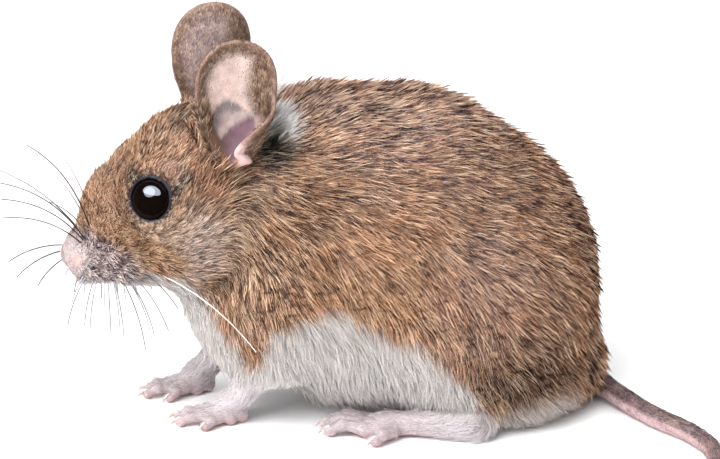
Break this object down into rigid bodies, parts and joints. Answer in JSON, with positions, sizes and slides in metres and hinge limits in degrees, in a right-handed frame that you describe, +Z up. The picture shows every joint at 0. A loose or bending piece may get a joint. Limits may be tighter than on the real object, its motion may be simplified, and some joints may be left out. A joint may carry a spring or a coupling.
{
  "type": "field mouse figure",
  "caption": "Life-size field mouse that crouches on all fours, ears up, with its long tail laid on the floor and curled forward beside it.",
  "frame": {"origin": "on the floor, at the middle of the whole animal's box, tail and whiskers included", "axes": "+X from nose to rump, -Y towards the animal's left side and its tail, +Z up"},
  "size_m": [0.0836, 0.0574, 0.0497],
  "materials": {
    "brown_coat": "brown agouti fur",
    "white_coat": "white short fur",
    "bare_skin": "pale pink skin with sparse white hairs",
    "ear_skin": "thin finely furred skin",
    "tail_skin": "ringed skin, dark above and pale below",
    "eye": "wet black gloss",
    "whisker": "dark stiff hair, paler towards the tip"
  },
  "bodies": {
    "root": {"head": "brown_coat", "nose": "bare_skin", "eye_left": "eye", "eye_right": "eye", "ear_left": "ear_skin", "ear_right": "ear_skin", "neck": "brown_coat", "trunk": "brown_coat", "haunch_left": "brown_coat", "haunch_right": "brown_coat", "foreleg_left": "white_coat", "foreleg_right": "white_coat", "forefoot_left": "bare_skin", "forefoot_right": "bare_skin", "hindfoot_left": "bare_skin", "hindfoot_right": "bare_skin", "tail_root": "tail_skin", "tail_bend": "tail_skin", "tail_middle": "tail_skin", "tail_end": "tail_skin", "whisker_left_1": "whisker", "whisker_left_2": "whisker", "whisker_left_3": "whisker", "whisker_left_4": "whisker", "whisker_left_5": "whisker", "whisker_left_6": "whisker", "whisker_right_1": "whisker", "whisker_right_2": "whisker", "whisker_right_3": "whisker", "whisker_right_4": "whisker", "whisker_right_5": "whisker", "whisker_right_6": "whisker"}
  },
  "joints": []
}
